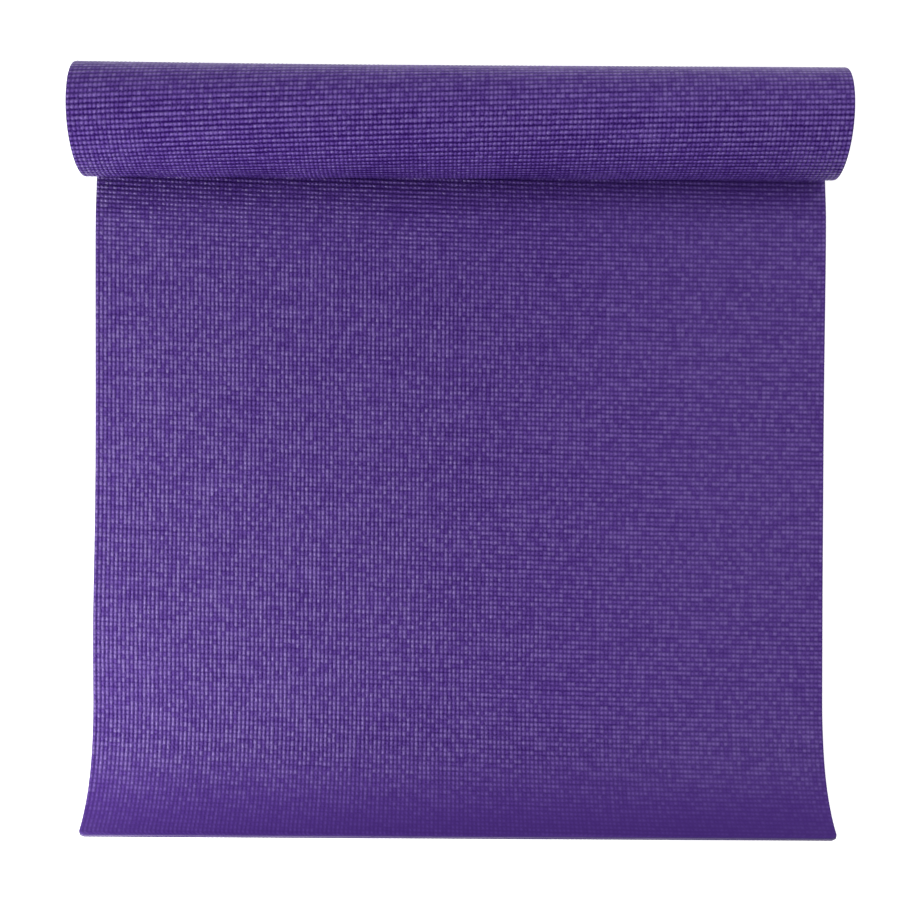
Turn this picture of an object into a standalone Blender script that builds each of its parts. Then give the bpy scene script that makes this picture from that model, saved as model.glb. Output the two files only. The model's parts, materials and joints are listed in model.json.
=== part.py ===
"""A yoga mat that lies partly unrolled on the floor.

The mat is one flexible sheet of three bonded layers: foam, a woven scrim and foam. Most of it lies
flat, its near end curls up off the floor, and the rest is still wound in a roll that stands on the
flat run. The mat bends everywhere, so it is cut across into strips, and each strip hinges on the one
before it. The outermost turn of the roll can be paid out and the curled end pressed flat.

Metres, +Z up, +X across the mat, +Y along it towards the roll. The floor is at z = 0.
"""

import math

import bmesh
import bpy
from mathutils import Vector

# The sheet as it is cut, and its layers from the floor upwards.
mat_width = 0.610
mat_length = 1.727
corner_radius = 0.004
lower_foam_thickness = 0.0015
scrim_thickness = 0.0004
upper_foam_thickness = 0.0015
bond_clearance = 0.0003

# How it lies: the roll, which is oval and leans back, the flat run and the curled lip.
core_radius = 0.0150
turn_clearance = 0.0006
roll_oval = 0.0030
roll_lean = math.radians(37.0)
flat_length = 0.460
lip_length = 0.122
lip_end_slope = math.radians(54.0)
lip_strip_length_shares = (0.42, 0.23, 0.19, 0.16)

# How it is divided: strips that hinge, and facets along each curve.
strip_clearance = 0.0003
wrap_strip_count = 12
facets_per_wrap_strip = 5
facets_per_lip_strip = 5
corner_steps = 3
smooth_angle = math.radians(30.0)

layer_names = ("lower_foam", "scrim", "upper_foam")
layer_thicknesses = (lower_foam_thickness, scrim_thickness, upper_foam_thickness)
mat_thickness = sum(layer_thicknesses) + bond_clearance * (len(layer_names) - 1)
neutral_height = mat_thickness / 2

full_turn = 2 * math.pi
quarter_turn = math.pi / 2
turn_pitch = mat_thickness + turn_clearance
winding_rate = turn_pitch / full_turn
rolled_length = mat_length - flat_length - lip_length
neutral_radius = math.sqrt((core_radius + neutral_height) ** 2 + 2 * winding_rate * rolled_length)
roll_radius = neutral_radius + neutral_height
angle_steps = 20
wrap_strip_angle = full_turn / wrap_strip_count
facet_angle = wrap_strip_angle / facets_per_wrap_strip
lip_strip_bend = lip_end_slope / len(lip_strip_length_shares)


def bend_radius(angle):
    """The radius that the middle of the sheet bends to, after it has turned by this angle."""
    return neutral_radius - winding_rate * angle - 3 * roll_oval * math.cos(2 * (angle + roll_lean))


def wound_length(angle):
    """The length of mat wound up after it has turned by this angle from the floor."""
    oval_part = math.sin(2 * (angle + roll_lean)) - math.sin(2 * roll_lean)
    return neutral_radius * angle - winding_rate * angle * angle / 2 - 3 * roll_oval * oval_part / 2


def wound_angle(length):
    """The angle that the mat has turned by after this length of the roll, by Newton's steps."""
    angle = (neutral_radius - math.sqrt(neutral_radius**2 - 2 * winding_rate * length)) / winding_rate
    for _ in range(angle_steps):
        angle += (length - wound_length(angle)) / bend_radius(angle)
    return angle


def from_roll_middle(angle, height):
    """A point of the roll, seen from its middle, where the mat has turned by this angle.

    The reach is how far the underside lies out from the middle, square to itself. It shrinks by
    the same amount for each degree, which winds every turn parallel to the one outside it, one
    pitch further in. The oval part stretches the roll along an axis that leans back.
    """
    sine, cosine = math.sin(angle), math.cos(angle)
    reach = roll_radius - winding_rate * angle + roll_oval * math.cos(2 * (angle + roll_lean)) - height
    slide = -winding_rate - 2 * roll_oval * math.sin(2 * (angle + roll_lean))
    return reach * sine + slide * cosine, slide * sine - reach * cosine


def roll_point(distance, height):
    """A point of the roll, `distance` past the line where the mat leaves the floor."""
    along, up = from_roll_middle(wound_angle(distance), height)
    floor_along, floor_up = from_roll_middle(0.0, 0.0)
    return along - floor_along, up - floor_up


def lip_point(distance, height):
    """A point of the curled lip, `distance` past the end of the flat run.

    Each strip of the lip is an arc of the same bend, and the arcs get shorter towards the free
    end, so the curl tightens.
    """
    along, up, slope = -flat_length, 0.0, 0.0
    left = distance
    for share in lip_strip_length_shares:
        strip_length = lip_length * share
        radius = strip_length / lip_strip_bend + neutral_height
        step = min(left, strip_length)
        turned = slope + lip_strip_bend * step / strip_length
        along += radius * (math.sin(slope) - math.sin(turned))
        up += radius * (math.cos(slope) - math.cos(turned))
        slope = turned
        left -= step
        if left <= 0:
            break
    return along + height * math.sin(slope), up + height * math.cos(slope)


def mat_point(distance, height):
    """Where a point of the mat lies: `distance` along it and `height` above its underside.

    Distance is counted from the line where the mat leaves the floor: positive into the roll,
    negative over the flat run and the lip.
    """
    if distance > 0:
        return roll_point(distance, height)
    if distance < -flat_length:
        return lip_point(-flat_length - distance, height)
    return distance, height


def half_width(distance):
    """Half the mat's width there, which is less only in the rounded corners at its two ends."""
    from_end = min(distance + flat_length + lip_length, rolled_length - distance)
    if from_end >= corner_radius:
        return mat_width / 2
    short = corner_radius - max(from_end, 0.0)
    return mat_width / 2 - corner_radius + math.sqrt(corner_radius**2 - short**2)


def even_rows(first, last, count):
    """`count` + 1 distances from first to last."""
    return [first + (last - first) * i / count for i in range(count + 1)]


def rounded_rows(end, inward):
    """The rows through a rounded corner, from the end of the mat inward."""
    steps = [quarter_turn * i / corner_steps for i in range(corner_steps + 1)]
    return [end + inward * corner_radius * (1 - math.cos(a)) for a in steps]


def wrap_rows(number):
    """The rows of one strip of the outer turn."""
    first = wrap_strip_angle * (number - 1)
    angles = even_rows(first, first + wrap_strip_angle, facets_per_wrap_strip)
    return clear_ends([wound_length(a) for a in angles])


def core_rows():
    """The rows of the roll inside its outer turn, down to the mat's inner end."""
    corner = rounded_rows(rolled_length, -1)
    last_angle = wound_angle(min(corner))
    steps = max(int((last_angle - full_turn) / facet_angle), 1)
    rows = [wound_length(full_turn + facet_angle * i) for i in range(steps)]
    rows[0] += strip_clearance / 2
    return rows + corner[::-1]


def lip_rows(number):
    """The rows of one strip of the lip, from its outer end to its inner end."""
    inner = -flat_length - lip_length * sum(lip_strip_length_shares[: number - 1])
    outer = -flat_length - lip_length * sum(lip_strip_length_shares[:number])
    if number < len(lip_strip_length_shares):
        return clear_ends(even_rows(outer, inner, facets_per_lip_strip))
    corner = rounded_rows(outer, 1)
    rows = corner[:-1] + even_rows(corner[-1], inner, facets_per_lip_strip)
    rows[-1] -= strip_clearance / 2
    return rows


def clear_ends(rows):
    """The same rows, with half the clearance between strips taken off each end."""
    return [rows[0] + strip_clearance / 2] + rows[1:-1] + [rows[-1] - strip_clearance / 2]


def place(distance, height):
    """A point on the mat's centre line in the object's own frame."""
    along, up = mat_point(distance, height)
    return Vector((0.0, along + contact_y, up))


def layer_mesh(name, rows, low, high, origin):
    """One layer of one strip: a flat slab, cut across at each row and then bent along the mat."""
    bm = bmesh.new()
    bmesh.ops.create_grid(bm, x_segments=1, y_segments=len(rows) - 1, size=0.5)
    for vert in bm.verts:
        distance = rows[round((vert.co.y + 0.5) * (len(rows) - 1))]
        vert.co = (math.copysign(half_width(distance), vert.co.x), distance, low)
    risen = bmesh.ops.extrude_face_region(bm, geom=bm.faces[:])["geom"]
    for item in risen:
        if isinstance(item, bmesh.types.BMVert):
            item.co.z = high
    for vert in bm.verts:
        across, distance, height = vert.co
        vert.co = place(distance, height) + Vector((across, 0.0, 0.0)) - origin
    bmesh.ops.recalc_face_normals(bm, faces=bm.faces[:])
    mesh = bpy.data.meshes.new(name)
    bm.to_mesh(mesh)
    bm.free()
    mesh.shade_smooth()
    mesh.set_sharp_from_angle(angle=smooth_angle)
    return mesh


def finish(name, colour, roughness, sheen):
    """A plain, non-metallic finish."""
    material = bpy.data.materials.new(name)
    material.use_nodes = True
    shader = material.node_tree.nodes["Principled BSDF"]
    shader.inputs["Base Color"].default_value = (*colour, 1.0)
    shader.inputs["Roughness"].default_value = roughness
    shader.inputs["Metallic"].default_value = 0.0
    shader.inputs["Sheen Weight"].default_value = sheen
    return material


def strip(body, rows, hinge, carrier, collection):
    """One strip of the mat: an empty on its hinge line, which carries a slab of each layer."""
    origin = place(hinge, 0.0)
    axis = bpy.data.objects.new(f"{body}_hinge", None)
    collection.objects.link(axis)
    axis.parent = carrier
    axis.location = origin - (carrier_origins[carrier.name] if carrier else Vector())
    carrier_origins[axis.name] = origin
    low = 0.0
    for layer, thickness in zip(layer_names, layer_thicknesses):
        name = f"{body}_{layer}"
        mesh = layer_mesh(name, rows, low, low + thickness, origin)
        mesh.materials.append(finishes[layer])
        slab = bpy.data.objects.new(name, mesh)
        slab.parent = axis
        collection.objects.link(slab)
        low += thickness + bond_clearance
    return axis


def least_turn_gap():
    """The least clear distance from each turn of the roll to the next one in, on its facets."""
    rows = [wound_length(facet_angle * i) for i in range(int(wound_angle(rolled_length) / facet_angle))]
    inner_faces = [Vector(roll_point(d, mat_thickness)) for d in rows]
    outer_faces = [Vector(roll_point(d, 0.0)) for d in rows]
    per_turn = wrap_strip_count * facets_per_wrap_strip
    gaps = []
    for i in range(len(rows) - per_turn - 1):
        start, end = outer_faces[i + per_turn], outer_faces[i + per_turn + 1]
        middle = (inner_faces[i] + inner_faces[i + 1]) / 2
        facing = (end - start).normalized().orthogonal()
        gaps.append(abs((middle - start).dot(facing)))
    return min(gaps)


for leftover in list(bpy.data.objects):
    bpy.data.objects.remove(leftover)

finishes = {
    "lower_foam": finish("lower PVC foam", (0.078, 0.032, 0.240), 0.62, 0.15),
    "scrim": finish("polyester scrim", (0.480, 0.400, 0.620), 0.80, 0.0),
    "upper_foam": finish("upper PVC foam", (0.090, 0.038, 0.270), 0.58, 0.15),
}
carrier_origins = {}

# The line where the mat leaves the floor is set so that the whole object is centred on Y.
roll_reach = roll_point(wound_length(quarter_turn), 0.0)[0]
lip_reach = lip_point(lip_length, 0.0)[0]
contact_y = -(roll_reach + lip_reach) / 2

mat = bpy.data.collections.new("yoga_mat")
bpy.context.scene.collection.children.link(mat)

flat_rows = clear_ends([-flat_length, 0.0])
flat_run = strip("flat_run", flat_rows, -flat_length / 2, None, mat)

carrier = flat_run
for number in range(1, len(lip_strip_length_shares) + 1):
    rows = lip_rows(number)
    hinge = -flat_length - lip_length * sum(lip_strip_length_shares[: number - 1])
    carrier = strip(f"lip_{number}", rows, hinge, carrier, mat)

carrier = flat_run
for number in range(1, wrap_strip_count + 1):
    hinge = wound_length(wrap_strip_angle * (number - 1))
    carrier = strip(f"wrap_{number:02d}", wrap_rows(number), hinge, carrier, mat)
core_roll = strip("core_roll", core_rows(), wound_length(full_turn), carrier, mat)

print(f"sheet {mat_width:.4f} x {mat_length:.4f} m, {mat_thickness * 1000:.2f} mm thick")
print(f"rolled up: {rolled_length:.4f} m in {wound_angle(rolled_length) / full_turn:.2f} turns")
print(f"roll {roll_point(wound_length(math.pi), 0.0)[1]:.4f} m high, {2 * core_radius:.4f} m wide inside")
print(f"least gap between turns: {least_turn_gap() * 1000:.3f} mm")
for name, origin in carrier_origins.items():
    print(f"{name}: {origin.x:.6f} {origin.y:.6f} {origin.z:.6f}")
print(f"wrap hinges open by {math.degrees(wrap_strip_angle):.4f} degrees, the first and last by half")
print(f"lip hinges open by {math.degrees(lip_strip_bend):.4f} degrees, the first by half")
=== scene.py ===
# %% [markdown]
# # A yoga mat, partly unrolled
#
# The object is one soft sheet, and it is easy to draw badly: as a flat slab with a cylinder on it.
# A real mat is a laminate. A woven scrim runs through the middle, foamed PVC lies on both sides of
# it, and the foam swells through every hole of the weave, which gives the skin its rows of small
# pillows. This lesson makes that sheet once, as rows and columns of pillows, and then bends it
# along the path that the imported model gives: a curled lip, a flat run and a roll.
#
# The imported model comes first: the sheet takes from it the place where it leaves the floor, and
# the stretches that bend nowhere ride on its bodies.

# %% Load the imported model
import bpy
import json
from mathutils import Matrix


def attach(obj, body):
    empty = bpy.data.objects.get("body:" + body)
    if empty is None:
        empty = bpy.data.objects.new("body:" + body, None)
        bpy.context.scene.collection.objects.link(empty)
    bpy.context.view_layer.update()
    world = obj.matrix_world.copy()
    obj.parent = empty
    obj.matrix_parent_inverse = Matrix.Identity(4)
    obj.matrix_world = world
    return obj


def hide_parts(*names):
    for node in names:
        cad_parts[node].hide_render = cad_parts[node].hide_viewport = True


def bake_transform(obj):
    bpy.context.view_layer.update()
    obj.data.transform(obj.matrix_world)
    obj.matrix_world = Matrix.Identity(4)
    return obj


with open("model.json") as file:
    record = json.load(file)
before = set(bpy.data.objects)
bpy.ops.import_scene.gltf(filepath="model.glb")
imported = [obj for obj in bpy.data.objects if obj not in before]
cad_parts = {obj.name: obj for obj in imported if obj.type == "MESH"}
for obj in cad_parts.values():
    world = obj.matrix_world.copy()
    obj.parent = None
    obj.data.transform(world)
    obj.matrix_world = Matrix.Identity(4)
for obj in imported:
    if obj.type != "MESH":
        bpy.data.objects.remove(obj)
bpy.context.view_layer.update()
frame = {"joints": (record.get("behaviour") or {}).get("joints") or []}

# %% [markdown]
# ## The sheet in numbers
#
# Everything is in metres, so lengths that are easier to read in millimetres are multiplied by a
# name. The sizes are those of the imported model. The pillows are one hole of the scrim each: the
# photograph shows 177 of them across the mat and 120 along its flat run.

# %% Sizes of the sheet
import json
import math

import bmesh
import bpy
import numpy as np

MM = 0.001
sheet_width = 610 * MM
sheet_length = 1727 * MM
sheet_thickness = 4 * MM
half_height = sheet_thickness / 2
flat_length = 460 * MM
lip_length = 122 * MM
rolled_length = sheet_length - flat_length - lip_length

cells_across = 177
cells_along = 445
columns = 2 * cells_across
rows = 2 * cells_along
row_step = sheet_length / rows
print(f"one pillow is {sheet_width / cells_across / MM:.2f} x {sheet_length / cells_along / MM:.2f} mm")

# %% [markdown]
# ## The spiral of the roll
#
# A point of the sheet has three numbers: how far across it lies, how far along, and how high above
# the underside. The path turns the last two into a place. In the roll each turn has to lie on the
# one inside it. That is easiest to write as a reach: how far the underside lies out from the
# middle of the roll, in the direction that it faces there. If the reach shrinks by the same amount
# for each degree, every turn is parallel to the next. That alone is a round spiral. A roll that
# lies on a floor isn't round, so a second term stretches it along an axis that leans back.
#
# The length of the spiral has a formula and its angle has none, so the angle is looked up in a
# fine table of lengths.

# %% The spiral
core_radius = 15 * MM
turn_gap = 0.6 * MM
roll_oval = 3 * MM
roll_lean = math.radians(37)
table_size = 40001

winding_rate = (sheet_thickness + turn_gap) / math.tau
neutral_radius = math.sqrt((core_radius + half_height) ** 2 + 2 * winding_rate * rolled_length)
roll_radius = neutral_radius + half_height


def wound_length(angle):
    """The distance into the roll at which the sheet has turned by this angle."""
    oval_part = np.sin(2 * (angle + roll_lean)) - math.sin(2 * roll_lean)
    return neutral_radius * angle - winding_rate * angle**2 / 2 - 3 * roll_oval * oval_part / 2


angle_table = np.linspace(0, (neutral_radius - core_radius) / winding_rate, table_size)
length_table = wound_length(angle_table)


def wound_angle(distance):
    """The angle that the sheet has turned by, after this distance into the roll."""
    return np.interp(distance, length_table, angle_table)


print(f"the roll has {wound_angle(rolled_length) / math.tau:.2f} turns")

# %% Places in the roll


def from_roll_middle(angle, height):
    """Along and up from the middle of the roll, where the sheet has turned by this angle."""
    sine, cosine = np.sin(angle), np.cos(angle)
    reach = roll_radius - winding_rate * angle + roll_oval * np.cos(2 * (angle + roll_lean)) - height
    slide = -winding_rate - 2 * roll_oval * np.sin(2 * (angle + roll_lean))
    return reach * sine + slide * cosine, slide * sine - reach * cosine


def roll_path(distance, height):
    """Along and up, in the roll."""
    along, up = from_roll_middle(wound_angle(np.maximum(distance, 0)), height)
    floor_along, floor_up = from_roll_middle(0.0, 0.0)
    return along - floor_along, up - floor_up


roll_top = roll_path(wound_length(math.pi), 0.0)[1]
print(f"the roll is {roll_top / MM:.1f} mm high")

# %% [markdown]
# ## The lip and the whole path
#
# The lip has been the end of a roll too, so it curls. One arc would be simpler, but the end of a
# mat curls tighter than what comes before it: four arcs, each turning by the same angle, get
# shorter towards the free edge. The flat run between lip and roll needs no formula. The object is
# centred on Y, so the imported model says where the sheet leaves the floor.

# %% The path
lip_end_slope = math.radians(54)
lip_strip_shares = (0.42, 0.23, 0.19, 0.16)
lip_strip_bend = lip_end_slope / len(lip_strip_shares)


def lip_path(distance, height):
    """Along and up, in the lip."""
    left = np.maximum(-flat_length - distance, 0)
    along, up, slope = -flat_length + 0 * left, 0 * left, 0 * left
    for share in lip_strip_shares:
        strip = lip_length * share
        radius = strip / lip_strip_bend + half_height
        turned = slope + lip_strip_bend * np.clip(left / strip, 0, 1)
        along = along + radius * (np.sin(slope) - np.sin(turned))
        up = up + radius * (np.cos(slope) - np.cos(turned))
        slope = turned
        left = left - strip
    return along + height * np.sin(slope), up + height * np.cos(slope)


def path(distance, height):
    """Along and up, anywhere on the sheet. Distance is 0 where the sheet leaves the floor."""
    distance, height = np.broadcast_arrays(np.asarray(distance, float), height)
    in_roll, in_lip = distance > 0, distance < -flat_length
    roll, lip = roll_path(distance, height), lip_path(distance, height)
    along = np.where(in_roll, roll[0], np.where(in_lip, lip[0], distance))
    up = np.where(in_roll, roll[1], np.where(in_lip, lip[1], height))
    return along, up


contact_y = next(j for j in frame["joints"] if j["name"] == "wrap_hinge_01")["pos_m"][1]
lip_height = path(-flat_length - lip_length, 0.0)[1]
print(f"the sheet leaves the floor at y = {contact_y:.4f}, and the lip rises {lip_height / MM:.1f} mm")

# %% [markdown]
# ## How it has settled
#
# A sheet that has been rolled up for months doesn't lie like a board. It stands a few millimetres
# off the floor in front of the roll, and its left edge has lifted just before the curl. Everywhere
# it wanders up and down a little. A cloth simulation could find such shapes by itself, but thick
# foam keeps the shape that it was left in. So each of them is a small height that is added to the
# path, and every layer follows.

# %% Settling on the floor
swell_height = 4.2 * MM
swell_start = 14 * MM
swell_rise = 50 * MM
swell_fall_start = 70 * MM
swell_fall = 200 * MM
edge_lift = 5 * MM
edge_lift_start = 120 * MM
edge_lift_width = 185 * MM
edge_lift_middle = 405 * MM
edge_lift_reach = 80 * MM
drift = 0.5 * MM
drift_start = 30 * MM
drift_rise = 60 * MM


def ease(share):
    """0 before 0, 1 after 1, and a smooth step between them."""
    share = np.clip(share, 0, 1)
    return share * share * (3 - 2 * share)


def rise_off_floor(across, distance):
    """How far the flat run and the lip stand off the floor."""
    back = -distance
    swell = swell_height * ease((back - swell_start) / swell_rise)
    swell = swell * (1 - ease((back - swell_fall_start) / swell_fall))
    left = ease((-across - edge_lift_start) / edge_lift_width)
    lifted = edge_lift * left * np.exp(-(((back - edge_lift_middle) / edge_lift_reach) ** 2))
    # Two slow waves that cross, in radians per metre.
    wander = drift * (1 + np.sin(21 * across + 13 * distance + 1) * np.sin(17 * distance - 9 * across))
    wander = wander * ease((back - drift_start) / drift_rise)
    ground = (distance < 0) & (distance > -flat_length - lip_length)
    return np.where(ground, swell + lifted + wander, 0)


left_edge = rise_off_floor(-sheet_width / 2, -edge_lift_middle)
print(f"at the left edge the sheet stands {left_edge / MM:.1f} mm off the floor before the curl")

# %% [markdown]
# The roll has been wound by hand, so its left end is a little looser than its right one, and each
# turn has run a little to the left. The tip of the lip stands higher than even arcs would take it.

# %% Settling of the roll and the lip
loose_end = 2.4 * MM
loose_start = 20 * MM
loose_width = 325 * MM
loose_rise = 60 * MM
roll_drift = 1.5 * MM
roll_drift_rise = 150 * MM
lip_rise = 5 * MM
lip_pull = 2 * MM


def settled(across, distance, height):
    """The place of a point of the sheet, as an array with x, y and z in its last axis."""
    across, distance, height = np.broadcast_arrays(across, distance, height)
    along, up = path(distance, height)
    up = up + rise_off_floor(across, distance)
    looser = np.clip((loose_start - across) / loose_width, 0, 1) ** 2 * ease(distance / loose_rise)
    curl = np.clip((-distance - flat_length) / lip_length, 0, 1) ** 3
    up = up + lip_rise * curl
    along = along + lip_pull * curl
    across = across - roll_drift * ease(distance / roll_drift_rise)
    along = along + looser * loose_end * ease(up / roll_top) * np.clip(along / (roll_top / 2), 0, 1)
    return np.stack([across, along + contact_y, up], axis=-1)


tip = settled(0.0, -flat_length - lip_length, 0.0)
print(f"the tip of the lip is at y = {tip[1]:.4f}, {tip[2] / MM:.1f} mm high")

# %% [markdown]
# ## The pillows
#
# Two quads for each pillow in both directions are enough for its shape: one vertex on top, four
# where threads cross and four on the threads between. Bump alone would be cheaper, but the edges
# and the exported mesh would then be smooth. The heights vary, because foam never swells evenly:
# each thread was pulled a little differently, and some patches show rows more than columns. The
# random numbers come from a fixed seed, so that the same mat is made each time.

# %% Heights of the pillows
pillow_depth = 0.35 * MM
# The numbers without a unit are shares of that depth.
thread_depth = 0.62
crossing_depth = 0.92
patch_change = 0.16
weft_change = 0.10
warp_change = 0.06
top_speck = 0.16
thread_speck = 0.10
crossing_speck = 0.08
across_grid = np.linspace(-sheet_width / 2, sheet_width / 2, columns + 1)
distance_grid = -flat_length - lip_length + row_step * np.arange(rows + 1)


def pillows(seed):
    """How deep each vertex of the skin lies under the tops of the pillows, row by row."""
    draw = np.random.default_rng(seed)
    row, column = np.indices((rows + 1, columns + 1))
    on_weft, on_warp = row % 2 == 0, column % 2 == 0
    x, d = across_grid[column], distance_grid[row]
    # Long waves that bend each other, in radians per metre, so no patch is like the next.
    patch = np.sin(9 * x + 4 * np.sin(7 * d + seed)) * np.sin(8 * d + 3 * np.sin(5 * x))
    weft_pull = draw.uniform(-1, 1, rows + 1)[row] * weft_change
    warp_pull = draw.uniform(-1, 1, columns + 1)[column] * warp_change
    speck = draw.uniform(0, 1, row.shape)
    top = top_speck * speck
    weft = thread_depth + patch_change * patch + weft_pull + thread_speck * speck
    warp = thread_depth - patch_change * patch + warp_pull + thread_speck * speck
    crossing = crossing_depth + crossing_speck * speck
    thread = np.where(on_weft, weft, np.where(on_warp, warp, top))
    return pillow_depth * np.where(on_weft & on_warp, crossing, thread)


top_depth, under_depth = pillows(3), pillows(8)
print("vertices of a whole skin:", top_depth.size)

# %% [markdown]
# ## The two skins
#
# Each skin is laid out once for the whole sheet, as a table of places, and its normals are worked
# out from the neighbours on all sides. The mat is then cut into stretches, one for each hinge, and
# each stretch keeps the normals of the whole sheet. Without that, each cut would show as a crease.
# The four corners of the sheet are cut round.

# %% Places and normals of both skins
corner_radius = 4 * MM


def rounded_width(distance):
    """The share of the full width that is left in the rounded corners at both ends."""
    from_end = np.minimum(distance + flat_length + lip_length, rolled_length - distance)
    short = np.clip(corner_radius - from_end, 0, corner_radius)
    half = sheet_width / 2 - corner_radius + np.sqrt(corner_radius**2 - short**2)
    return half / (sheet_width / 2)


def skin_places(height, depth):
    """Places of a whole skin, with its pillows pressed in by depth."""
    distance = distance_grid[:, None] + 0 * across_grid
    across = across_grid * rounded_width(distance)
    return settled(across, distance, height + depth)


def skin_normals(places, outward):
    """Unit normals of a whole skin."""
    down_rows = np.gradient(places, axis=0)
    across_columns = np.gradient(places, axis=1)
    normals = np.cross(across_columns, down_rows) * outward
    return normals / np.linalg.norm(normals, axis=-1, keepdims=True)


top_places = skin_places(sheet_thickness, -top_depth)
top_normals = skin_normals(top_places, 1)
under_places = skin_places(0.0, under_depth)
under_normals = skin_normals(under_places, -1)
print("highest point of the skins:", round(float(top_places[..., 2].max()) / MM, 1), "mm")

# %% [markdown]
# ## Colours and nodes
#
# Colours are picked from a screen, so they are written as hex values, and the shader wants them
# linear. One function does that for every finish. A second small function adds a node, sets what it
# is told, and fills its inputs, by name or by number. Each input is a plain value, another node's
# output, or another node, which stands for its first output. A Map Range node takes five, in this
# order: its value, the two places between which it changes, and what it gives at each.

# %% Helpers for finishes


def linear(hex_colour):
    """A hex colour as the four linear numbers that a socket takes."""
    parts = [int(hex_colour[i : i + 2], 16) / 255 for i in (0, 2, 4)]
    return [p / 12.92 if p <= 0.04045 else ((p + 0.055) / 1.055) ** 2.4 for p in parts] + [1.0]


def add_node(tree, kind, inputs=None, **settings):
    """One node, with its settings and the values or links of its inputs."""
    node = tree.nodes.new(kind)
    for key, value in settings.items():
        setattr(node, key, value)
    for key, value in (inputs or {}).items():
        if isinstance(value, bpy.types.Node):
            value = value.outputs[0]
        if isinstance(value, bpy.types.NodeSocket):
            tree.links.new(value, node.inputs[key])
        else:
            node.inputs[key].default_value = value
    return node


def new_finish(name):
    """A material with its node tree and its shader."""
    finish = bpy.data.materials.new(name)
    finish.use_nodes = True
    return finish, finish.node_tree, finish.node_tree.nodes["Principled BSDF"]


print("the purple 6D49AA is linear", [round(part, 3) for part in linear("6D49AA")])

# %% [markdown]
# ## Foamed PVC skin: where the pattern lies
#
# PVC foam is cast on the scrim and blown with heat. Its skin is closed and a little waxy: matt from
# afar, with a soft shine on top of each pillow, where it has been handled. The grooves are darker,
# partly because the foam is pinched dense there, and partly from painted shade: the colour of a
# groove holds the shade that falls into the hollow between pillows.
#
# The UV map of each piece counts pillows, so one period of a wave is one pillow, and the scale of a
# noise is the width of a pillow divided by the size that the noise has on the real mat. The scrim
# is never quite square to the cut: the rows lean by two to three degrees at the left edge and by
# one at the right, and they wander by a part of a pillow. The leaning is drawn in the material
# alone. The pillows of the mesh stay square to the edges, and they are too shallow for the two to
# be seen apart.

# %% The slant of the weave
left_lean = math.radians(2.8)
right_lean = math.radians(0.8)
pillow_width = sheet_width / cells_across
pillow_length = sheet_length / cells_along
lean_at_left = math.tan(left_lean) * pillow_width / pillow_length
lean_at_right = math.tan(right_lean) * pillow_width / pillow_length
bow = (lean_at_right - lean_at_left) / (2 * cells_across)
wander_share = 0.15
wander_size = 11.49 * MM


def slanted_weave(tree, uv, across, along):
    """The count of ribs and rows on the slanted weave."""
    lean = add_node(tree, "ShaderNodeMath", {0: across, 1: bow, 2: lean_at_left}, operation="MULTIPLY_ADD")
    leaning = add_node(tree, "ShaderNodeMath", {0: across, 1: lean, 2: along}, operation="MULTIPLY_ADD")
    leaning = add_node(tree, "ShaderNodeCombineXYZ", {"X": across, "Y": leaning})
    scale = pillow_width / wander_size
    drifts = add_node(tree, "ShaderNodeTexNoise", {"Vector": uv, "Scale": scale, "Detail": 1.0})
    shift = (wander_share, wander_share, 0.0)
    inputs = {0: drifts.outputs["Color"], 1: shift, 2: leaning}
    return add_node(tree, "ShaderNodeVectorMath", inputs, operation="MULTIPLY_ADD")


print(f"from edge to edge a row leans by {lean_at_left * cells_across + bow * cells_across**2:.1f} pillows")

# %% [markdown]
# ## Foamed PVC skin: ribs and rows
#
# No two patches swell alike. Where the threads that run along the mat are pulled tighter, pillows
# join into ribs along it, and elsewhere they join into rows. Ribs lead at the left, and rows at the
# right and on the roll, with patches of ribs mixed in. Where ribs lead, the gaps between rows are
# bridged, and where rows lead, those between ribs. A picture of the weave could show that too, but
# it would repeat itself, and these few nodes don't.

# %% Ribs and rows
# Ribs give way to rows from the first column, or row, of each pair to the second.
rib_columns = (0.3 * cells_across, 0.8 * cells_across)
rib_rows = (118, 142)
patch_size = 86.2 * MM
patch_bounds = (0.35, 0.65)
patch_share = 0.3
bridge_share = 0.38


def bridged_gaps(tree, uv, across, along):
    """How far the gaps between ribs, and those between rows, are bridged."""
    first, last = rib_columns
    ribs = add_node(tree, "ShaderNodeMapRange", {0: across, 1: first, 2: last, 3: 1.0, 4: 0.0})
    first, last = rib_rows
    on_flat = add_node(tree, "ShaderNodeMapRange", {0: along, 1: first, 2: last, 3: 1.0, 4: 0.0})
    ribs = add_node(tree, "ShaderNodeMath", {0: ribs, 1: on_flat}, operation="MULTIPLY")
    scale = pillow_width / patch_size
    patches = add_node(tree, "ShaderNodeTexNoise", {"Vector": uv, "Scale": scale, "Detail": 2.0})
    low, high = patch_bounds
    mixed_in = add_node(tree, "ShaderNodeMapRange", {0: patches, 1: low, 2: high, 3: 0.0, 4: patch_share})
    ribs = add_node(tree, "ShaderNodeMath", {0: ribs, 1: mixed_in}, operation="ADD", use_clamp=True)
    over_rows = add_node(tree, "ShaderNodeMath", {0: ribs, 1: bridge_share}, operation="MULTIPLY")
    shares = {0: ribs, 1: -bridge_share, 2: bridge_share}
    over_ribs = add_node(tree, "ShaderNodeMath", shares, operation="MULTIPLY_ADD")
    return over_ribs, over_rows


def bridged_hills(tree, counted, bridge):
    """A smooth hill between whole numbers that are counted, with the gaps between hills bridged."""
    turn = add_node(tree, "ShaderNodeMath", {0: counted, 1: math.tau}, operation="MULTIPLY")
    wave = add_node(tree, "ShaderNodeMath", {0: turn}, operation="COSINE")
    hills = add_node(tree, "ShaderNodeMath", {0: wave, 1: -0.5, 2: 0.5}, operation="MULTIPLY_ADD")
    return add_node(tree, "ShaderNodeMix", {0: bridge, 2: hills, 3: 1.0})


print("ribs lead up to column", round(rib_columns[0]), "and are gone from", round(rib_columns[1]))

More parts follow.
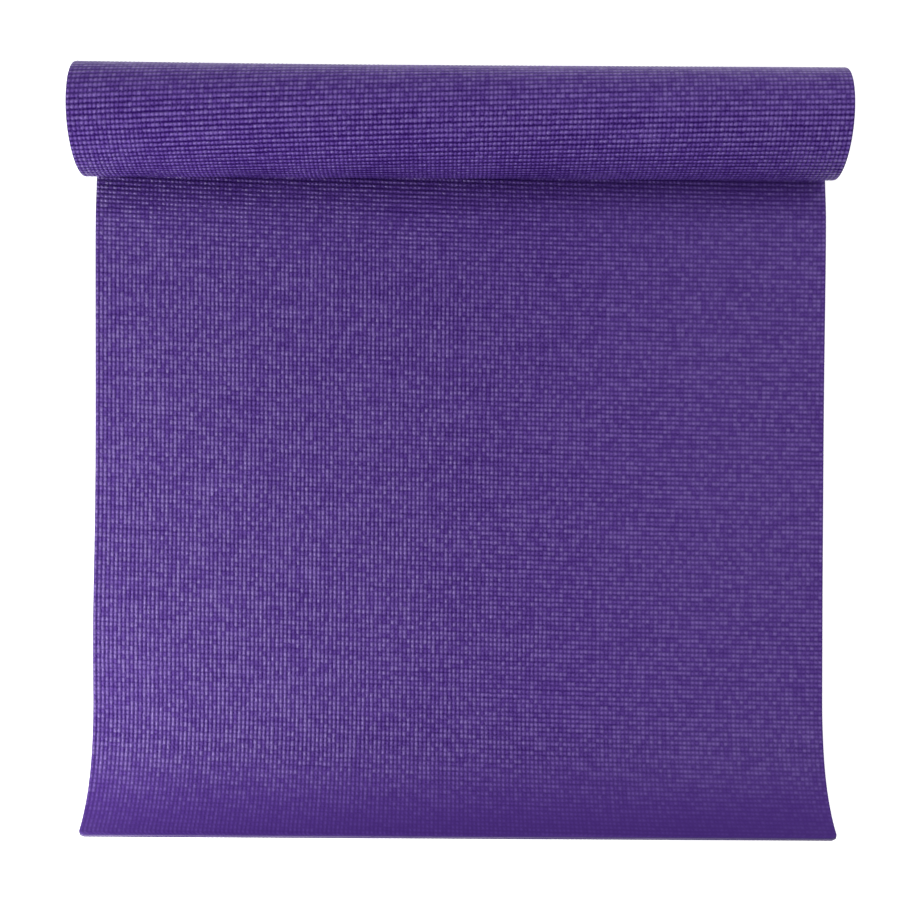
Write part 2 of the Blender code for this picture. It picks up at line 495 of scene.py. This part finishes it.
# %% [markdown]
# ## Foamed PVC skin: uneven foam
#
# Each pillow has a height of its own, threads that are pulled unevenly leave streaks along the
# rows, and the foam has a grain. The real grain is a few tenths of a millimetre wide, which doesn't
# show from where the photograph was taken, so it is drawn as coarse as it needs to.

# %% Uneven foam
own_share = 0.6
streak_share = 0.4
grain_share = 0.9
streak_length = 68.9 * MM
streak_width = 3.234 * MM
grain_size = 1.3255 * MM


def swell_of_pillows(tree, weave):
    """A number from 0 to 1 for each pillow."""
    cell = add_node(tree, "ShaderNodeVectorMath", {0: weave}, operation="FLOOR")
    return add_node(tree, "ShaderNodeTexWhiteNoise", {"Vector": cell}, noise_dimensions="2D")


def uneven_height(tree, uv, weave, height, own):
    """The height of the skin, with pillows of different heights, streaks and grain."""
    shares = {0: own, 1: own_share, 2: 1 - own_share / 2}
    swell = add_node(tree, "ShaderNodeMath", shares, operation="MULTIPLY_ADD")
    height = add_node(tree, "ShaderNodeMath", {0: height, 1: swell}, operation="MULTIPLY")
    scale = (pillow_width / streak_length, pillow_length / streak_width, 1)
    stretched = add_node(tree, "ShaderNodeMapping", {"Vector": weave, "Scale": scale})
    streaks = add_node(tree, "ShaderNodeTexNoise", {"Vector": stretched, "Scale": 1.0, "Detail": 3.0})
    scale = pillow_width / grain_size
    grain = add_node(tree, "ShaderNodeTexNoise", {"Vector": uv, "Scale": scale, "Detail": 3.0})
    for pattern, share in ((streaks, streak_share), (grain, grain_share)):
        shares = {0: pattern, 1: share, 2: height}
        height = add_node(tree, "ShaderNodeMath", shares, operation="MULTIPLY_ADD")
    return height


print(f"a pillow holds {pillow_width / grain_size:.1f} grains across")

# %% [markdown]
# ## Foamed PVC skin: worn places
#
# The free end is always handled, and the part of the outer turn that the roll rests on in store is
# always pressed. Both have lost some of their relief. Each skin also says how much relief it has at
# the left and at the right, and with the relief goes the painted shade in the grooves, which is
# deeper at the left than at the right.

# %% Worn places
# The relief comes back from the first of these rows to the second.
handled_rows = (3, 20)
handled_relief = 0.25
# It fades from the first of these rows to the second, and comes back from the third to the last.
pressed_rows = (150, 158, 173, 189)
pressed_relief = 0.2
# The left side's relief and painted shade turn into the right side's between these columns.
relief_columns = (0.55 * cells_across, 0.85 * cells_across)


def unhandled(tree, along):
    """1 over the mat, and less at the free end."""
    first, last = handled_rows
    return add_node(tree, "ShaderNodeMapRange", {0: along, 1: first, 2: last, 3: handled_relief, 4: 1.0})


def unpressed(tree, along):
    """1 over the mat, and less where the roll rests on it in store."""
    first, second, third, last = pressed_rows
    places = {0: along, 1: first, 2: second, 3: 1.0, 4: pressed_relief}
    before = add_node(tree, "ShaderNodeMapRange", places)
    places = {0: along, 1: third, 2: last, 3: pressed_relief, 4: 1.0}
    behind = add_node(tree, "ShaderNodeMapRange", places)
    return add_node(tree, "ShaderNodeMath", {0: before, 1: behind}, operation="MAXIMUM")


def relief_left(tree, across, along, left_relief_and_shade, right_relief_and_shade):
    """How much of its relief, and of the painted shade in its grooves, the skin still has."""
    first, last = relief_columns
    places = {0: across, 1: first, 2: last, 3: left_relief_and_shade, 4: right_relief_and_shade}
    relief = add_node(tree, "ShaderNodeMapRange", places)
    for kept in (unhandled(tree, along), unpressed(tree, along)):
        relief = add_node(tree, "ShaderNodeMath", {0: relief, 1: kept}, operation="MULTIPLY")
    return relief


print("rows that are worn: up to", handled_rows[1], "and from", pressed_rows[0], "to", pressed_rows[3])

# %% [markdown]
# ## Foamed PVC skin: the finish
#
# The height decides everything: the colour goes from the dark of a groove, which is partly painted
# shade, to the purple on top, the shine grows with it, and the bump follows it. PVC has an IOR of
# about 1.5. Its skin is matt, so its roughness is that of a waxy surface, and little of the shine is
# left in the grooves.

# %% Skin finish
relief_depth = 0.8 * MM
# Heights around the middle get the tone halfway between the groove and the top.
hill_middle = 0.4
middle_height = (streak_share + grain_share) / 2 + hill_middle
middle_tone = 0.5
least_shine = 0.2
shine_change = 0.5
shiny_columns = (0, 0.6 * cells_across)


def skin_shine(tree, across, along, height, own, left_shine):
    """The specular level: highest on top of the pillows, and more on some than on others."""
    shares = {0: own, 1: shine_change, 2: least_shine}
    shine = add_node(tree, "ShaderNodeMath", shares, operation="MULTIPLY_ADD")
    first, last = shiny_columns
    to_the_left = add_node(tree, "ShaderNodeMapRange", {0: across, 1: first, 2: last, 3: left_shine, 4: 1.0})
    shine = add_node(tree, "ShaderNodeMath", {0: shine, 1: to_the_left}, operation="MULTIPLY")
    shine = add_node(tree, "ShaderNodeMath", {0: shine, 1: unhandled(tree, along)}, operation="MULTIPLY")
    return add_node(tree, "ShaderNodeMath", {0: height, 1: shine}, operation="MULTIPLY", use_clamp=True)


def foam_skin(name, top_hex, groove_and_shade_hex, roughness, left_relief_and_shade, right_relief_and_shade, left_shine):
    finish, tree, shader = new_finish(name)
    shader.inputs["IOR"].default_value = 1.5
    shader.inputs["Roughness"].default_value = roughness
    uv = add_node(tree, "ShaderNodeUVMap", uv_map="pillows")
    across, along, _ = add_node(tree, "ShaderNodeSeparateXYZ", {"Vector": uv}).outputs
    weave = slanted_weave(tree, uv, across, along)
    in_rib, in_row, _ = add_node(tree, "ShaderNodeSeparateXYZ", {"Vector": weave}).outputs

    over_ribs, over_rows = bridged_gaps(tree, uv, across, along)
    rises = {0: bridged_hills(tree, in_rib, over_ribs), 1: bridged_hills(tree, in_row, over_rows)}
    height = add_node(tree, "ShaderNodeMath", rises, operation="MULTIPLY")
    own = swell_of_pillows(tree, weave)
    height = uneven_height(tree, uv, weave, height, own)
    relief = relief_left(tree, across, along, left_relief_and_shade, right_relief_and_shade)
    height = add_node(tree, "ShaderNodeMath", {0: height, 1: middle_height}, operation="SUBTRACT")
    shares = {0: height, 1: relief, 2: middle_tone}
    height = add_node(tree, "ShaderNodeMath", shares, operation="MULTIPLY_ADD")

    # The dark of the groove colour is partly painted shade, the shade of the hollows between pillows.
    hues = {0: height, 6: linear(groove_and_shade_hex), 7: linear(top_hex)}
    colour = add_node(tree, "ShaderNodeMix", hues, data_type="RGBA")
    tree.links.new(colour.outputs[2], shader.inputs["Base Color"])
    shine = skin_shine(tree, across, along, height, own, left_shine)
    # The exported model can't keep the link, and has this level all over.
    shader.inputs["Specular IOR Level"].default_value = 0.3
    tree.links.new(shine.outputs[0], shader.inputs["Specular IOR Level"])
    bump = add_node(tree, "ShaderNodeBump", {"Height": height, "Distance": relief_depth, "Strength": 1.0})
    tree.links.new(bump.outputs["Normal"], shader.inputs["Normal"])
    return finish


# The second hex of each skin is the groove's dark, with painted shade in it.
upper_skin = foam_skin("foamed PVC skin, upper", "6D49AA", "311760", 0.38, 1.0, 0.63, 1.7)
lower_skin = foam_skin("foamed PVC skin, lower", "7652B7", "301560", 0.38, 1.4, 1.2, 1.0)
print("skins:", upper_skin.name, "/", lower_skin.name)

# %% [markdown]
# ## Cut edges
#
# The mat is cut from a wide web with a knife, so its edges show the foam from inside: open pores,
# dark against the foam, where the dark is painted shade in their hollows. The real ones are a few
# tenths of a millimetre wide. They are drawn a little coarser, so that they show.

# %% Cut foam finish
pore_spacing = 0.6 * MM
pore_depth = 0.2 * MM


def cut_foam(name, foam_hex, pore_shade_hex):
    finish, tree, shader = new_finish(name)
    shader.inputs["Roughness"].default_value = 0.85
    shader.inputs["IOR"].default_value = 1.53
    place = add_node(tree, "ShaderNodeTexCoord").outputs["Object"]
    pores = add_node(tree, "ShaderNodeTexVoronoi", {"Vector": place, "Scale": 1 / pore_spacing})
    hues = {0: pores, 6: linear(pore_shade_hex), 7: linear(foam_hex)}
    colour = add_node(tree, "ShaderNodeMix", hues, data_type="RGBA")
    tree.links.new(colour.outputs[2], shader.inputs["Base Color"])
    bump = add_node(tree, "ShaderNodeBump", {"Height": pores, "Distance": pore_depth, "Strength": 0.7})
    tree.links.new(bump.outputs["Normal"], shader.inputs["Normal"])
    return finish


# The second hex is the painted shade in the pores.
upper_cut = cut_foam("PVC foam, knife cut, upper", "432879", "2A1753")
lower_cut = cut_foam("PVC foam, knife cut, lower", "422777", "291651")
print("cut edges:", upper_cut.name, "/", lower_cut.name)

# %% [markdown]
# ## Scrim
#
# Between the foams runs the end of the scrim, where the cut polyester threads show as pale dots,
# one for each groove. The threads lie at the whole numbers that the UV map counts, and foam fills
# the holes between them. The fibres of a thread show only as a fine unevenness.

# %% Scrim finish
# A thread's edge is soft: it gives way to the foam between these two shares of the way to a hole.
thread_edge = (0.30, 0.45)
fibre_size = 0.2462 * MM
fibre_depth = 0.1 * MM


def woven_scrim(name, thread_hex, foam_hex):
    finish, tree, shader = new_finish(name)
    shader.inputs["Roughness"].default_value = 0.8
    uv = add_node(tree, "ShaderNodeUVMap", uv_map="pillows")
    parts = add_node(tree, "ShaderNodeSeparateXYZ", {"Vector": uv})
    off_threads = []
    for counted in (parts.outputs["X"], parts.outputs["Y"]):
        turn = add_node(tree, "ShaderNodeMath", {0: counted, 1: math.pi}, operation="MULTIPLY")
        wave = add_node(tree, "ShaderNodeMath", {0: turn}, operation="SINE")
        off_threads.append(add_node(tree, "ShaderNodeMath", {0: wave}, operation="ABSOLUTE"))
    inputs = {0: off_threads[0], 1: off_threads[1]}
    gap = add_node(tree, "ShaderNodeMath", inputs, operation="MULTIPLY")
    hole = add_node(tree, "ShaderNodeMapRange", {0: gap, 1: thread_edge[0], 2: thread_edge[1]})
    hues = {0: hole, 6: linear(thread_hex), 7: linear(foam_hex)}
    colour = add_node(tree, "ShaderNodeMix", hues, data_type="RGBA")
    tree.links.new(colour.outputs[2], shader.inputs["Base Color"])
    scale = pillow_width / fibre_size
    fibre = add_node(tree, "ShaderNodeTexNoise", {"Vector": uv, "Scale": scale, "Detail": 3.0})
    bump = add_node(tree, "ShaderNodeBump", {"Height": fibre, "Distance": fibre_depth, "Strength": 0.6})
    tree.links.new(bump.outputs["Normal"], shader.inputs["Normal"])
    return finish


scrim_weave = woven_scrim("polyester scrim", "A996C4", "5B3F92")
print("scrim:", scrim_weave.name)

# %% [markdown]
# ## A flat slab
#
# One layer of one stretch is a closed slab: a grid for the side that shows, a rim all round, and a
# plain side that is bonded to its neighbour and never seen. It is made flat and in plain numbers: x
# and y count its columns and rows. Solidify could give it its thickness, but then the hidden side
# would be as fine as the skin. Here it is a single face, split across at each row and into a dozen
# columns, so it bends with the sheet and costs few triangles.

# %% A flat slab
plain_columns = 12


def open_slab(across_count, row_count):
    """A grid at z = 0 with a rim down to z = -1, and the vertices at the foot of the rim."""
    bm = bmesh.new()
    bmesh.ops.create_grid(bm, x_segments=across_count, y_segments=row_count, size=0.5)
    bmesh.ops.translate(bm, verts=bm.verts[:], vec=(0.5, 0.5, 0))
    bmesh.ops.scale(bm, verts=bm.verts[:], vec=(across_count, row_count, 1))
    border = [edge for edge in bm.edges if edge.is_boundary]
    rim = bmesh.ops.extrude_edge_only(bm, edges=border)["geom"]
    lowered = [item for item in rim if isinstance(item, bmesh.types.BMVert)]
    bmesh.ops.translate(bm, verts=lowered, vec=(0, 0, -1))
    return bm, lowered


def close_slab(bm, lowered, across_count, row_count):
    """Closes the hidden side, with an edge across at each row."""
    open_edges = [edge for edge in bm.edges if edge.is_boundary]
    hidden = bmesh.ops.contextual_create(bm, geom=open_edges)["faces"][0]
    left = {round(v.co.y): v for v in lowered if v.co.x < 0.5}
    right = {round(v.co.y): v for v in lowered if v.co.x > across_count - 0.5}
    for row in range(1, row_count):
        rest, _ = bmesh.utils.face_split(hidden, left[row], right[row])
        hidden = rest if left[row + 1] in rest.verts[:] else hidden
    lines = [bm.edges.get((left[row], right[row])) for row in range(1, row_count)]
    bmesh.ops.subdivide_edges(bm, edges=lines, cuts=plain_columns - 1, use_grid_fill=True)
    # The first and last strips of the hidden side touch the fine rim, so they have hundreds of
    # corners. They are split while flat: left whole, their long diagonals would cut through the
    # bent sheet.
    many_sided = [face for face in bm.faces if len(face.verts) > 4]
    bmesh.ops.triangulate(bm, faces=many_sided, ngon_method="BEAUTY")
    bmesh.ops.recalc_face_normals(bm, faces=bm.faces[:])


trial, foot = open_slab(plain_columns, 2)
close_slab(trial, foot, plain_columns, 2)
print("a plain slab of two rows has", len(trial.faces), "faces")
trial.free()

# %% [markdown]
# ## One layer of one stretch
#
# The slab's counts say which vertex of the whole sheet each of its own is, so all of them are sent
# to their places at once. A fine skin takes them from the tables of the two skins, and its normals
# too. The rim gets the finish of the cut edge.

# %% Bend a slab into a layer
scrim_top = 2.2 * MM
scrim_foot = 1.8 * MM
layer_heights = {
    "upper_foam": (sheet_thickness, scrim_top),
    "scrim": (scrim_top, scrim_foot),
    "lower_foam": (0.0, scrim_foot),
}


def flat_mesh(name, layer, across_count, row_count):
    """The flat slab as a mesh, and the place of each of its vertices in plain counts."""
    bm, lowered = open_slab(across_count, row_count)
    close_slab(bm, lowered, across_count, row_count)
    if layer == "lower_foam":
        bmesh.ops.reverse_faces(bm, faces=bm.faces[:])
    mesh = bpy.data.meshes.new(name)
    bm.to_mesh(mesh)
    bm.free()
    counts = np.empty(len(mesh.vertices) * 3)
    mesh.vertices.foreach_get("co", counts)
    return mesh, counts.reshape(-1, 3)


def bend(mesh, layer, column, row, shows, fine):
    """Sends each vertex to its place in the settled sheet."""
    seen_height, hidden_height = layer_heights[layer]
    across = (column / columns - 0.5) * sheet_width * rounded_width(distance_grid[row])
    places = settled(across, distance_grid[row], np.where(shows, seen_height, hidden_height))
    if fine:
        table = top_places if layer == "upper_foam" else under_places
        places[shows] = table[row[shows], np.rint(column[shows]).astype(int)]
    mesh.vertices.foreach_set("co", places.ravel())


print("layers, with the heights of their two sides:", layer_heights)

# %% Finish a layer
layer_finishes = {
    "upper_foam": (upper_skin, upper_cut),
    "scrim": (scrim_weave, scrim_weave),
    "lower_foam": (lower_skin, lower_cut),
}
crease_angle = math.radians(40)


def finish_layer(mesh, layer, column, row, shows, fine):
    """Gives a bent layer its UV map, its finishes and, where it is fine, the skin's normals."""
    corner = np.empty(len(mesh.loops), int)
    mesh.loops.foreach_get("vertex_index", corner)
    uv = mesh.uv_layers.new(name="pillows")
    uv.uv.foreach_set("vector", np.stack([column[corner] / 2, row[corner] / 2], axis=-1).ravel())

    starts = np.empty(len(mesh.polygons), int)
    sizes = np.empty(len(mesh.polygons), int)
    mesh.polygons.foreach_get("loop_start", starts)
    mesh.polygons.foreach_get("loop_total", sizes)
    showing = np.add.reduceat(shows[corner].astype(int), starts) / sizes
    on_rim = (showing > 0) & (showing < 1)
    mesh.polygons.foreach_set("material_index", on_rim.astype(int))
    for finish in layer_finishes[layer]:
        mesh.materials.append(finish)
    mesh.shade_smooth()
    mesh.set_sharp_from_angle(angle=crease_angle)
    if fine:
        table = top_normals if layer == "upper_foam" else under_normals
        on_skin = np.repeat(showing == 1, sizes)
        normals = np.zeros((len(corner), 3))
        on_grid = np.rint(column).astype(int)
        normals[on_skin] = table[row[corner[on_skin]], on_grid[corner[on_skin]]]
        mesh.normals_split_custom_set(normals.tolist())


print("finishes of the layers:", {layer: pair[0].name for layer, pair in layer_finishes.items()})

# %% Make a layer


def layer_piece(name, layer, first, last, fine):
    """One layer between two rows of the sheet, in its place, with its UV map and finishes."""
    across_count = columns if fine else plain_columns
    mesh, counts = flat_mesh(name, layer, across_count, last - first)
    column = counts[:, 0] * columns / across_count
    row = np.rint(counts[:, 1]).astype(int) + first
    shows = counts[:, 2] > -0.5
    bend(mesh, layer, column, row, shows, fine)
    finish_layer(mesh, layer, column, row, shows, fine)
    piece = bpy.data.objects.new(name, mesh)
    bpy.context.scene.collection.objects.link(piece)
    return piece


print("a fine layer has", columns, "columns and a plain one", plain_columns)

# %% [markdown]
# ## Stretches and what they ride on
#
# A hinge of the imported model stands for one place where the soft sheet bends. The stretch over a
# hinge runs from the middle of one strip to the middle of the next, between their two bodies, and
# stays where it is made. Stretches that bend nowhere ride on one body. A skin that can be seen gets
# its pillows in full, and one that is always inside the roll is left plain.

# %% Stretches of the lip and the flat run
lip_count = len(lip_strip_shares)
first_hinge_reach = 26 * MM


def row_at(distance):
    """The row of the sheet that is nearest to this distance."""
    return int(round((distance + flat_length + lip_length) / row_step))


lip_bodies = ["flat_run"] + [f"lip_{i}" for i in range(1, lip_count + 1)]
lip_cuts = [-flat_length - lip_length * sum(lip_strip_shares[:i]) for i in range(lip_count + 1)]
lip_middles = [(lip_cuts[i] + lip_cuts[i + 1]) / 2 for i in range(lip_count)]
lip_rows = [row_at(-flat_length + first_hinge_reach)] + [row_at(d) for d in lip_middles[:-1]] + [0]
# In front of the roll, the flat run ends where the sheet starts to swell off the floor.
run_end = row_at(-swell_start)
stretches = []
for i in range(lip_count):
    name = f"over_lip_hinge_{i + 1}"
    stretches.append((name, lip_rows[i + 1], lip_rows[i], lip_bodies[i + 1], lip_bodies[i]))
stretches.append(("run", lip_rows[0], run_end, "flat_run", None))
print("rows between the stretches of the lip:", lip_rows)

# %% Stretches of the roll
wrap_count = 12
wrap_angle = math.tau / wrap_count
innermost_turns = 1.2

wrap_bodies = ["flat_run"] + [f"wrap_{i:02d}" for i in range(1, wrap_count + 1)] + ["core_roll"]
wrap_middles = [wound_length(wrap_angle * (i + 0.5)) for i in range(wrap_count)]
core_start = wound_length(math.tau + wrap_angle / 2)
wrap_rows = [run_end] + [row_at(d) for d in wrap_middles] + [row_at(core_start)]
for i in range(wrap_count + 1):
    name = f"over_wrap_hinge_{i + 1:02d}"
    stretches.append((name, wrap_rows[i], wrap_rows[i + 1], wrap_bodies[i], wrap_bodies[i + 1]))
core_second = row_at(wound_length(2 * math.tau))
core_third = row_at(wound_length(wound_angle(rolled_length) - innermost_turns * math.tau))
stretches.append(("core_outer", wrap_rows[-1], core_second, "core_roll", None))
stretches.append(("core_middle", core_second, core_third, "core_roll", None))
stretches.append(("core_inner", core_third, rows, "core_roll", None))
print("stretches:", len(stretches))

# %% [markdown]
# Each stretch over a hinge gets two points a few millimetres inside it, at the same place across
# the mat: a blend between them would be over before the stretch ends, so the cut between two
# stretches would not open when the mat moves, and it would not run askew and reach the cut at the
# edges. Nothing here uses the two points.

# %% Make the stretches
blend_margin = 4 * MM
# The foams whose skin can be seen. A stretch that isn't named here shows both.
fine_sides = {
    "run": ("upper_foam",),
    "core_outer": ("lower_foam",),
    "core_middle": (),
    "core_inner": ("upper_foam",),
}
triangles = 0
for name, first, last, body, other in stretches:
    for layer in ("lower_foam", "scrim", "upper_foam"):
        fine = layer != "scrim" and layer in fine_sides.get(name, ("lower_foam", "upper_foam"))
        piece = layer_piece(f"{name}_{layer}", layer, first, last, fine)
        if other is None:
            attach(piece, body)
            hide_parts(f"{body}_{layer}")
        else:
            start, end = distance_grid[first] + blend_margin, distance_grid[last] - blend_margin
            points = settled(0.0, np.array([start, end]), half_height)
            points[:, 0] = 0
            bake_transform(piece)
            moved = body if name.startswith("over_lip") else other
            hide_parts(f"{moved}_{layer}")
        triangles += sum(len(p.vertices) - 2 for p in piece.data.polygons)
print("triangles:", triangles)

# %% [markdown]
# ## Camera
#
# The photograph was taken straight down from about 1.1 m, which is why the roll looks wider than
# the flat run: it is nearer. Its focal length is counted in its own pixels, of which it has 900
# across.

# %% Camera
film_width = 36.0
focal_pixels = 1329
photo_pixels = 900
camera_place = (-0.0080, 0.0040, 1.118)
camera_turn = 0.0055

camera_data = bpy.data.cameras.new("camera")
camera_data.sensor_width = film_width
camera_data.lens = film_width * focal_pixels / photo_pixels
camera = bpy.data.objects.new("camera", camera_data)
camera.location = camera_place
camera.rotation_euler = (0, 0, camera_turn)
bpy.context.scene.collection.objects.link(camera)
bpy.context.scene.camera = camera
print(f"lens {camera_data.lens:.1f} mm")

# %% [markdown]
# ## Floor
#
# The floor is white paper, and it takes the mat's shadow. It glows for the rays of the camera and
# of reflections, so it shows white there, but it lights the mat as plain paper does.

# %% Floor
floor_size = 4.0
paper_glow = 0.65


def backdrop_rays(tree):
    """1 for the rays that find the white background, and 0 for those that light the mat."""
    ray = add_node(tree, "ShaderNodeLightPath").outputs
    inputs = {0: ray["Is Camera Ray"], 1: ray["Is Glossy Ray"]}
    seen = add_node(tree, "ShaderNodeMath", inputs, operation="MAXIMUM")
    return add_node(tree, "ShaderNodeMath", {0: seen, 1: ray["Is Transmission Ray"]}, operation="MAXIMUM")


floor_mesh = bpy.data.meshes.new("floor")
bm = bmesh.new()
bmesh.ops.create_grid(bm, x_segments=1, y_segments=1, size=floor_size)
bm.to_mesh(floor_mesh)
bm.free()
floor = bpy.data.objects.new("floor", floor_mesh)
bpy.context.scene.collection.objects.link(floor)
paper, tree, shader = new_finish("white paper")
shader.inputs["Base Color"].default_value = linear("E7E7E7")
shader.inputs["Roughness"].default_value = 0.9
shader.inputs["Emission Color"].default_value = linear("FFFFFF")
glow = add_node(tree, "ShaderNodeMath", {0: backdrop_rays(tree), 1: paper_glow}, operation="MULTIPLY")
tree.links.new(glow.outputs[0], shader.inputs["Emission Strength"])
floor_mesh.materials.append(paper)
print("floor:", paper.name)

# %% [markdown]
# ## Light
#
# A large soft lamp hangs above and a little behind the roll, so the front of the roll shades off. A
# long one stands low at the front left corner: it rakes over that side, which brings out the ribs
# there, and fades across the mat. A third one lies low behind the roll and gives its crown an edge.
# The world fills in the rest. Like the floor, it is white to the camera and in reflections, but
# lights the mat at a lower level.

# %% World
fill_light = 0.36
world = bpy.data.worlds.new("studio")
bpy.context.scene.world = world
world.use_nodes = True
tree = world.node_tree
background = tree.nodes["Background"]
background.inputs["Color"].default_value = linear("FFFFFF")
background.inputs["Strength"].default_value = fill_light
strength = add_node(tree, "ShaderNodeMath", {0: backdrop_rays(tree), 1: fill_light}, operation="MAXIMUM")
tree.links.new(strength.outputs[0], background.inputs["Strength"])
print("world:", world.name)

# %% Lamps
# The name of each lamp, its place, its width and height, and its power in watts.
lamps = (
    ("overhead", (0.25, 0.40, 1.95), (2.0, 2.0), 15.0),
    ("left", (-0.62, -0.34, 0.32), (1.0, 0.2), 4.5),
    ("behind", (0.0, 1.4, 0.08), (1.6, 0.12), 1.0),
)
for name, place, sizes, power in lamps:
    lamp_data = bpy.data.lights.new(name, "AREA")
    lamp_data.shape = "ELLIPSE"
    lamp_data.size, lamp_data.size_y = sizes
    lamp_data.energy = power
    lamp = bpy.data.objects.new(name, lamp_data)
    lamp.location = place
    aim = np.array(place) / np.linalg.norm(place)
    lamp.rotation_euler = (math.acos(aim[2]), 0, math.atan2(aim[0], -aim[1]))
    lamp.visible_camera = False
    lamp.visible_glossy = name != "behind"
    bpy.context.scene.collection.objects.link(lamp)
bpy.context.scene.view_settings.view_transform = "Standard"
print("lamps:", ", ".join(lamp[0] for lamp in lamps))
